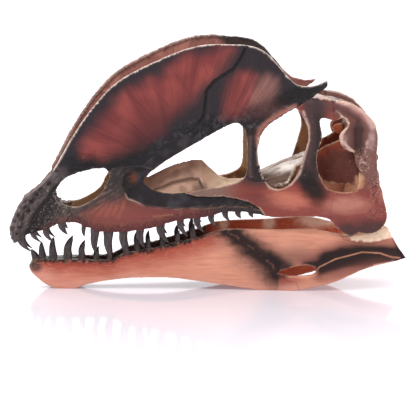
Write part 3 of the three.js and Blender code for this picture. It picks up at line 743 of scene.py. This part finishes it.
def cheek_paint(s):
    cloud = s.noise(16.0, 22)
    fibre = noise(s.x / 5, s.a, s.z, 3.4, 23)
    mud = s.noise(5.0, 24)
    rough = rugged(s)
    s.bare = 1 - 0.7 * ramp(rough, 0.2, 0.6)
    # Painted glints on the rough patches of the temple.
    s.fleck = 0.8 * ramp(rough, 0.3, 0.9)
    colour = s.coat(132, 60, 52)
    colour.lay(124, 96, 84, ramp(s.x, 66, 8))
    colour.lay(188, 110, 90, 0.95 * ramp(s.puff(122, 150, 38, 15, -6) + 0.3 * (fibre - 0.5), 0.05, 0.95))
    colour.lay(104, 48, 43, 0.7 * s.puff(76, 152, 30, 14, -10))
    colour.lay(60, 42, 40, 0.95 * ramp(s.puff(76, 186, 38, 20), 0.1, 0.9))
    colour.lay(184, 122, 106, 0.85 * ramp(s.puff(216, 142, 38, 15) + 0.3 * (fibre - 0.5), 0.05, 0.95))
    temple = ramp(s.x + 0.1 * (s.z - 200), 196, 214)
    upper = temple * ramp(s.z, 156, 184)
    colour.lay(108, 66, 59, upper)
    # A painted highlight along the top of the temple ledge.
    colour.lay(202, 148, 136, 0.75 * s.spray(temple_ledge[1:], 6) * ramp(s.x, 190, 214))
    colour.lay(140, 108, 99, 0.7 * upper * s.puff(258, 248, 9, 18))
    colour.lay(122, 88, 77, 0.7 * upper * s.puff(213, 245, 8, 11))
    # Painted shade in the hollow of the temple.
    colour.lay(72, 42, 36, 0.8 * upper * s.spray([(233, 258), (233, 230)], 11))
    colour.lay(128, 88, 80, 0.8 * upper * s.puff(252, 206, 14, 22))
    colour.lay(160, 104, 92, 0.7 * ramp(s.x, 260, 274) * ramp(s.z, 214, 190) * ramp(s.z, 136, 150))
    colour.lay(212, 178, 164, 0.8 * upper * s.spray(notch_rim[:7], 1.5))
    # A painted highlight on the high spots of the relief, and painted shade in its low spots.
    colour.lay(206, 172, 164, 0.6 * upper * ramp(s.height, 0.8, 2.8))
    colour.lay(54, 30, 26, 0.75 * upper * ramp(-s.height, 0.6, 3.0))
    # Painted shade in the groove under the temple ledge.
    colour.lay(98, 60, 55, 0.8 * s.spray([(184, 296), (214, 288)], 9))
    soot = ramp(s.spray(eye_post, 22), 0.2, 0.85)
    colour.lay(66, 46, 45, 0.97 * soot)
    colour.lay(28, 20, 21, 0.7 * soot * s.spray([(168, 292), (172, 262), (171, 240), (164, 206)], 6))
    colour.lay(66, 48, 47, 0.7 * s.puff(168, 292, 14, 10))
    colour.lay(34, 30, 31, 0.9 * s.spray([(166, 310), (196, 306)], 4))
    patch = s.spray([(153, 184), (161, 170), (168, 164)], 21) + 0.3 * (cloud - 0.5)
    colour.lay(24, 12, 10, 0.97 * ramp(patch, 0.15, 0.95))
    colour.lay(62, 38, 38, 0.9 * ramp(s.z + 10 * (cloud - 0.5), 126, 104) * ramp(s.x, 184, 214))
    colour.lay(206, 140, 116, 0.75 * s.spray(temple_rim, 1.8) * ramp(s.rim, 0.0, 0.3))
    colour.lay(200, 172, 158, 0.75 * s.spray(orbit_rim, 2.0) * ramp(mud, 0.05, 0.4))
    colour.lay(204, 172, 146, 0.5 * s.seam * ramp(s.x, 96, 84) * ramp(s.z, 166, 158))
    inner = s.coat(160, 118, 82).lay(104, 68, 44, ramp(cloud, 0.4, 0.7))
    inner.lay(132, 70, 50, 0.8 * temple)
    inner.lay(116, 84, 78, 0.8 * ramp(s.z, 270, 286))
    floor = ramp(s.z + 10 * (cloud - 0.5), 192, 180) * ramp(s.x, 160, 176) * ramp(s.z, 120, 140)
    inner.lay(206, 150, 120, 0.9 * floor)
    return colour.cover(inner.colour, 1 - s.out)


for name in ("jugal", "postorbital", "squamosal", "quadratojugal"):
    for side in ("left", "right"):
        slot = "charcoal" if name == "postorbital" else "cheek_pink"
        bone(name + "_" + side, cheek_relief, cheek_paint, cheek_spray, voxel=1.1, ease=3)

# Quadrates, skull roof and braincase: the red-brown inner bones behind the eye. On the quadrates the dark
# brown is painted shade, the foot and rear are tan, and painted shade darkens the low spots of the tan. The
# quadrate's knuckle sits on the jaw.
inner_spray = sprayed_resin("inner_brown_with_painted_shade", (200, 166, 140), bump=0.3)


def inner_relief(s):
    return 2.0 * (s.noise(10.0, 30) - 0.5) + 1.2 * (s.noise(4.5, 31) - 0.5)


def quadrate_paint(s):
    cloud = s.noise(12.0, 32)
    # The dark brown over most of the quadrate is painted shade.
    colour = s.coat(92, 48, 40)
    colour.lay(132, 60, 38, ramp(s.z - 0.5 * s.x + 20 * (cloud - 0.5), 112, 134))
    foot = ramp(s.z + 8 * (cloud - 0.5), 172, 164)
    rear = ramp(s.x - 0.35 * (s.z - 180) + 10 * (cloud - 0.5), 228, 238) * ramp(s.z, 214, 196)
    pale = np.maximum(foot, rear)
    colour.lay(206, 158, 124, pale)
    # Painted shade in the low spots of the tan.
    return colour.lay(96, 66, 44, 0.7 * pale * ramp(-s.height, 0.2, 1.2))


def roof_paint(s):
    cloud = s.noise(26.0, 33)
    mud = s.noise(6.0, 35)
    # Painted glints all over the roof.
    s.fleck = 0.5
    colour = s.coat(116, 78, 72)
    colour.lay(150, 118, 114, ramp(s.x, 130, 190) * ramp(cloud, 0.3, 0.8))
    colour.lay(80, 52, 48, 0.7 * ramp(0.5 * cloud + 0.5 * mud, 0.5, 0.3))
    return colour.lay(166, 124, 92, ramp(s.up, -0.2, -0.6))


def braincase_paint(s):
    cloud = s.noise(12.0, 34)
    colour = s.coat(142, 98, 84).lay(96, 60, 52, ramp(cloud, 0.5, 0.3))
    return colour.lay(204, 106, 64, ramp(s.x, 216, 212))


for side in ("left", "right"):
    bone("quadrate_" + side, inner_relief, quadrate_paint, inner_spray, settle="", ease=10)
bone("skull_roof", inner_relief, roof_paint, inner_spray, settle="", ease=14)
bone("braincase", inner_relief, braincase_paint, inner_spray, settle="", ease=30)

# Palate: palatines, pterygoids and the vomer, thin bare plates of tan resin with a brown wash in the
# grooves, seen through the openings. Behind the eye they are painted near white, partly as painted highlight
# on the folds, with painted shade in their low spots. They are tucked between the side walls.
bare_resin = sprayed_resin("bare_tan_resin", (236, 220, 200), bump=0.3)
palate_groove = [(-83, 160), (-71, 163), (-54, 170), (-26, 176), (-13, 175), (-7, 164)]


def palate_relief(s):
    groove = -2.0 * s.spray(palate_groove, 2.2)
    crumple = np.abs(noise(s.x * 0.5 - s.z * 0.4, s.a * 1.6, s.z * 0.5, 20.0, 43) - 0.5)
    folds = 9.0 * (0.2 - crumple) * ramp(s.x, 60, 90)
    return groove + folds + 1.4 * (s.noise(12.0, 40) - 0.5) + 0.6 * (s.noise(4.0, 41) - 0.5)


def palate_paint(s):
    cloud = s.noise(16.0, 42)
    colour = s.coat(180, 142, 121)
    colour.lay(212, 184, 158, ramp(s.x, -14, 26) * 0.9)
    colour.lay(124, 92, 74, 0.6 * ramp(cloud, 0.5, 0.85))
    colour.lay(92, 62, 48, 0.9 * s.spray(palate_groove, 2.6))
    colour.lay(110, 80, 66, 0.7 * ramp(s.puff(-12, 160, 14, 8), 0.2, 0.8))
    behind = ramp(s.x, 66, 90)
    # Near white behind the eye, partly a painted highlight on the folds, and painted shade in their low
    # spots.
    colour.lay(250, 242, 236, behind)
    colour.lay(150, 116, 98, 0.8 * behind * ramp(-s.height, -0.6, 0.8))
    bowl_foot = ramp(0.98 * s.z + 0.19 * s.co[:, 1] + 10 * (cloud - 0.5), 188, 172)
    return colour.lay(84, 54, 39, 0.95 * behind * bowl_foot)


for node in ("palatine_left", "palatine_right", "pterygoid_left", "pterygoid_right", "vomer"):
    bone(node, palate_relief, palate_paint, bare_resin, settle="")

# Lower jaw: dentary, surangular, angular and articular on each side, in salmon resin with fine
# lengthwise streaks, a black gum line and charcoal sprayed over the rear joints; the socket is bare.
jaw_spray = sprayed_resin("salmon_spray", (232, 176, 144), bump=0.3)
dentary_row = [(-270.6, 14, -7, 9), (-259.6, 24, -2, 8), (-242.6, 31, 0, 9), (-219.6, 33, 8, 10),
               (-197.6, 25, 5, 8), (-174.6, 14, 4, 7), (-152.6, 16, 3, 7), (-127.6, 18, 2, 7),
               (-109.6, 23, 1, 7), (-91.6, 20, 1, 6), (-69.6, 17, 2, 6), (-45.6, 18, 2, 6),
               (-21.6, 22, 1, 7)]
jaw_half = line([(-285, 1), (-280, 9), (-265, 15), (-240, 18), (-200, 22), (-100, 31), (0, 40), (67, 46),
                 (145, 56), (235, 63), (312, 60)])
jaw_top = line([(-282, 35), (-276, 44), (-264, 48), (-232, 48), (-191, 48), (-151, 49), (-134, 57),
                (-117, 62), (-83, 67), (-53, 75), (-26, 82), (-4, 89), (11, 95), (40, 98), (109, 98),
                (160, 100), (182, 97), (203, 91)])


def jaw_face(x, z):
    return np.maximum(1, jaw_half(x) - 4 * ((z - 50) / 45) ** 2)


jaw_facets = facets(jaw_face, -287 + 603 * np.linspace(0, 1, 23) ** 1.25, np.linspace(-4, 108, 6))
front_joint = [(26, 104), (29, 95), (45, 87), (67, 71), (90, 53), (102, 42), (112, 28)]
rear_joint = [(171, 34), (175, 40), (200, 53), (242, 64), (270, 62), (290, 55), (302, 54)]
rear_soot = [(152, 46), (170, 52), (183, 63), (209, 70), (239, 73), (273, 73), (298, 69), (316, 56),
             (316, 50), (294, 49), (252, 44), (217, 39), (193, 33), (176, 27), (168, 40)]


def jaw_grain(s):
    return np.stack([s.x * 0.16, s.co[:, 1], s.z * 1.4], 1)


def jaw_relief(s):
    streaks = 0.3 * (noise(s.x / 14, s.a / 3, s.z, 2.2, 50) - 0.5)
    streaks += 0.9 * (noise(s.x / 6, s.a, s.z, 6.0, 51) - 0.5)
    drop = jaw_top(s.x) - s.z
    sockets = sum(np.exp(-((s.x - x) / (0.5 * w + 1)) ** 2) for x, _, _, w in dentary_row)
    gum = (1.6 * (sockets - 0.4) + 2.4 * (s.noise(4.2, 55) - 0.5)) * ramp(drop, 12, 3) * ramp(s.x, 20, -10)
    speckle = 1.2 * (s.noise(3.0, 56) - 0.5) * ramp(drop, 26, 12) * ramp(s.x, 0, -60)
    ridge = 2.0 * s.spray([(60, 90), (130, 92), (200, 84)], 6) * s.out
    keel = 1.6 * s.spray([(180, 20), (240, 42), (300, 55)], 8) * s.out
    zigzag = -0.9 * spray(s.x + 1.2 * np.sin(s.z * 0.7), s.z, front_joint, 2.4) * s.out
    rough = 2.2 * (s.noise(5.4, 52) - 0.5) * ramp(s.x, 206, 216) * ramp(s.z, 76, 84)
    return streaks + gum + speckle + ridge + keel + rough + zigzag


def jaw_paint(s):
    streak = noise(s.x / 12, s.a / 4, s.z, 2.6, 53)
    cloud = noise(s.x / 3, s.a, s.z, 9.0, 54)
    mud = s.noise(5.0, 57)
    drop = jaw_top(s.x) - s.z
    front = ramp(s.x, 30, 10)
    s.bare = (1 - 0.8 * ramp(drop, 16, 10) * front) * ramp(s.x, 298, 276)
    # Painted glints below the gum at the front of the jaw.
    s.fleck = 0.25 * ramp(drop, 26, 16) * ramp(drop, 1, 5) * front
    colour = s.coat(212, 136, 114)
    colour.lay(222, 155, 129, ramp(s.x, -130, 20))
    colour.lay(220, 154, 134, 0.9 * ramp(s.x, -215, -262) * ramp(s.z, 44, 30))
    colour.lay(224, 162, 140, 0.7 * ramp(s.z - np.interp(s.x, [-240, -120, 40], [0, 19, 6]), 14, 3))
    colour.lay(178, 100, 80, 0.25 * ramp(streak, 0.5, 0.8))
    band_depth = np.interp(s.x, [-260, -140, -40], [30, 34, 46])
    band = ramp(drop + 10 * (cloud - 0.5), band_depth, 8) * ramp(s.x, 40, 4) * ramp(s.x, -278, -252)
    colour.lay(166, 74, 58, 0.9 * band)
    colour.lay(120, 54, 46, 0.5 * band * ramp(drop, 12, 5))
    gum = ramp(drop + 8 * (mud - 0.5), np.interp(s.x, [-270, -200], [9, 6]), 1.5) * front
    colour.lay(24, 19, 19, 0.98 * gum)
    colour.lay(60, 42, 38, 0.85 * ramp(s.puff(-272, 36, 14, 12), 0.2, 0.9))
    soot = (30, 23, 24)
    rear = ramp(s.x - np.interp(s.z, [28, 42, 53, 71, 87, 95], [112, 102, 90, 67, 45, 29]), -2, 2)
    near = s.away(front_joint) + 10 * (cloud - 0.5) + 5 * (mud - 0.5)
    near = near * (1 - 0.28 * ramp(s.z, 72, 40) * (1 - rear))
    colour.lay(150, 100, 88, 0.6 * ramp(near, 40, 12))
    colour.lay(*soot, 0.97 * ramp(near, 25, 4))
    colour.lay(122, 84, 76, 0.7 * rear * s.puff(142, 58, 36, 16))
    colour.lay(*soot, 0.9 * rear * s.spray([(98, 56), (112, 44), (126, 40)], 12))
    shade = s.inside(rear_soot) + 5 * (cloud - 0.5)
    colour.lay(140, 84, 76, 0.7 * rear * ramp(shade, -20, -4))
    colour.lay(*soot, 0.97 * rear * ramp(shade, -8, 4))
    colour.lay(*soot, 0.95 * ramp(s.x + 0.3 * (s.z - 54), 296, 306))
    colour.lay(150, 92, 80, 0.6 * rear * s.puff(226, 34, 50, 9, 16))
    colour.lay(168, 84, 68, 0.7 * rear * s.puff(128, 17, 26, 7))
    colour.lay(226, 160, 126, 0.9 * s.spray(rear_joint, 0.8) * ramp(s.x, 168, 176))
    zigzag = spray(s.x + 1.2 * np.sin(s.z * 0.7), s.z, front_joint, 0.9)
    colour.lay(166, 116, 106, 0.6 * zigzag * ramp(mud, 0.35, 0.6))
    socket_floor = np.interp(s.x, [206, 212, 232, 257, 302], [98, 88, 82, 80, 88])
    cream = ramp(s.z - socket_floor + 5 * (mud - 0.5), -1, 1) * ramp(s.x, 205, 208)
    # The socket is cream, with painted shade in the low spots of its relief.
    socket = s.coat(252, 224, 194).lay(222, 178, 140, 0.7 * ramp(-s.height, 0.3, 1.4))
    colour.cover(socket.colour, cream)
    s.bare = np.maximum(s.bare, cream)
    inner = s.coat(196, 102, 72).lay(214, 124, 90, 0.6 * ramp(cloud, 0.5, 0.8))
    inner.lay(26, 20, 18, 0.95 * ramp(s.x, 16, -6))
    pale = np.maximum.reduce([s.puff(103, 94, 11, 13), s.puff(184, 95, 34, 13), s.puff(30, 94, 8, 10)])
    inner.lay(255, 226, 200, 0.97 * ramp(pale + 0.3 * (mud - 0.5), 0.05, 0.8))
    inner.cover(socket.colour, cream)
    return colour.cover(inner.colour, (1 - s.out) * ramp(s.a, 1, 6))


for side in ("left", "right"):
    for name, slot, teeth in (
        ("dentary", "jaw_salmon", 1),
        ("surangular", "jaw_salmon", 0),
        ("angular", "jaw_salmon", 0),
        ("articular", "joint_cream", 0),
    ):
        bone(name + "_" + side, jaw_relief, jaw_paint, jaw_spray,
             settle="jaw", teeth=teeth, grain=jaw_grain, voxel=1.3, ease=4)

# Teeth: curved, flattened resin crowns in near-black, each pressed into its socket. One crown is
# turned and ringed, then copied along each jaw. A row gives each tooth's x, length, sweep and width.
bpy.ops.object.select_all(action="DESELECT")
bpy.ops.mesh.primitive_cone_add(
    vertices=16, radius1=1.0, radius2=0.0, depth=1.0, location=(0, 0, 0.5), end_fill_type="NGON")
crown = bpy.context.object
bpy.ops.object.mode_set(mode="EDIT")
ring_levels = (0.08, 0.18, 0.3, 0.42, 0.54, 0.66, 0.77, 0.87, 0.95)
for level in ring_levels:
    bpy.ops.mesh.select_all(action="SELECT")
    bpy.ops.mesh.bisect(plane_co=(0, 0, level), plane_no=(0, 0, 1))
bpy.ops.object.mode_set(mode="OBJECT")
crown_at = np.empty(len(crown.data.vertices) * 3)
crown.data.vertices.foreach_get("co", crown_at)
crown_at = crown_at.reshape(-1, 3)
height = crown_at[:, 2] + 0.5
spread = np.hypot(crown_at[:, 0], crown_at[:, 1])
ray = crown_at[:, :2] / np.maximum(spread, 1e-9)[:, None]
girth = np.where(spread < 1e-6, 0, np.clip(1 - height ** 3.0, 0, 1) ** 0.7 * (1 - 0.12 * height))

enamel = bpy.data.materials.new("black_enamel")
enamel.use_nodes = True
nodes, links = enamel.node_tree.nodes, enamel.node_tree.links
shell = nodes["Principled BSDF"]
shell.inputs["Specular IOR Level"].default_value = 0.4
where, stretch = nodes.new("ShaderNodeTexCoord"), nodes.new("ShaderNodeMapping")
streak = nodes.new("ShaderNodeTexNoise")
shade, rough = nodes.new("ShaderNodeValToRGB"), nodes.new("ShaderNodeMapRange")
stretch.inputs["Scale"].default_value = (420, 420, 60)
streak.inputs["Scale"].default_value = 1.0
streak.inputs["Detail"].default_value = 4.0
shade.color_ramp.elements[0].position, shade.color_ramp.elements[1].position = 0.35, 0.75
shade.color_ramp.elements[0].color = (*tint(40, 34, 34), 1)
shade.color_ramp.elements[1].color = (*tint(92, 80, 78), 1)
rough.inputs["To Min"].default_value, rough.inputs["To Max"].default_value = 0.25, 0.5
links.new(where.outputs["Object"], stretch.inputs["Vector"])
links.new(stretch.outputs["Vector"], streak.inputs["Vector"])
links.new(streak.outputs["Fac"], shade.inputs["Fac"])
links.new(shade.outputs["Color"], shell.inputs["Base Color"])
links.new(streak.outputs["Fac"], rough.inputs["Value"])
links.new(rough.outputs["Result"], shell.inputs["Roughness"])

root, inset, tilt = 5, 6, 2.5
upper_girth, lower_girth, thickness = 0.58, 0.7, 0.36
for jaw, row, up in (
    ("premaxilla", premaxilla_row, -1),
    ("maxilla", maxilla_row, -1),
    ("dentary", dentary_row, 1),
):
    for side, hand in (("left", -1), ("right", 1)):
        bpy.ops.object.select_all(action="DESELECT")
        for x, length, sweep, width in row:
            z = float(upper_edge(x) if up < 0 else jaw_top(x))
            y = max(6.0, float(face(x, z)) - inset) if up < 0 else max(5.0, float(jaw_face(x, z)) - inset)
            tooth = bpy.data.objects.new("tooth", crown.data.copy())
            scene.collection.objects.link(tooth)
            rise = height * (length + root) - root
            share = np.clip(rise / length, 0, 1)
            bend = sweep * share ** 2 - 0.06 * length * np.sin(np.pi * share)
            wide = upper_girth if up < 0 else lower_girth
            at = np.stack([x + bend + ray[:, 0] * girth * width * wide,
                           hand * (y - tilt * share + ray[:, 1] * girth * width * thickness),
                           z + up * rise], 1)
            write_co(tooth, at)
            tooth.select_set(True)
            bpy.context.view_layer.objects.active = tooth
        bpy.ops.object.join()
        teeth = bpy.context.object
        teeth.name = jaw + "_teeth_" + side
        bpy.ops.object.mode_set(mode="EDIT")
        bpy.ops.mesh.select_all(action="SELECT")
        bpy.ops.mesh.normals_make_consistent(inside=False)
        bpy.ops.object.mode_set(mode="OBJECT")
        bpy.ops.object.shade_smooth()
        teeth.data.materials.append(enamel)
        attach(teeth, "root")
bpy.data.objects.remove(crown)
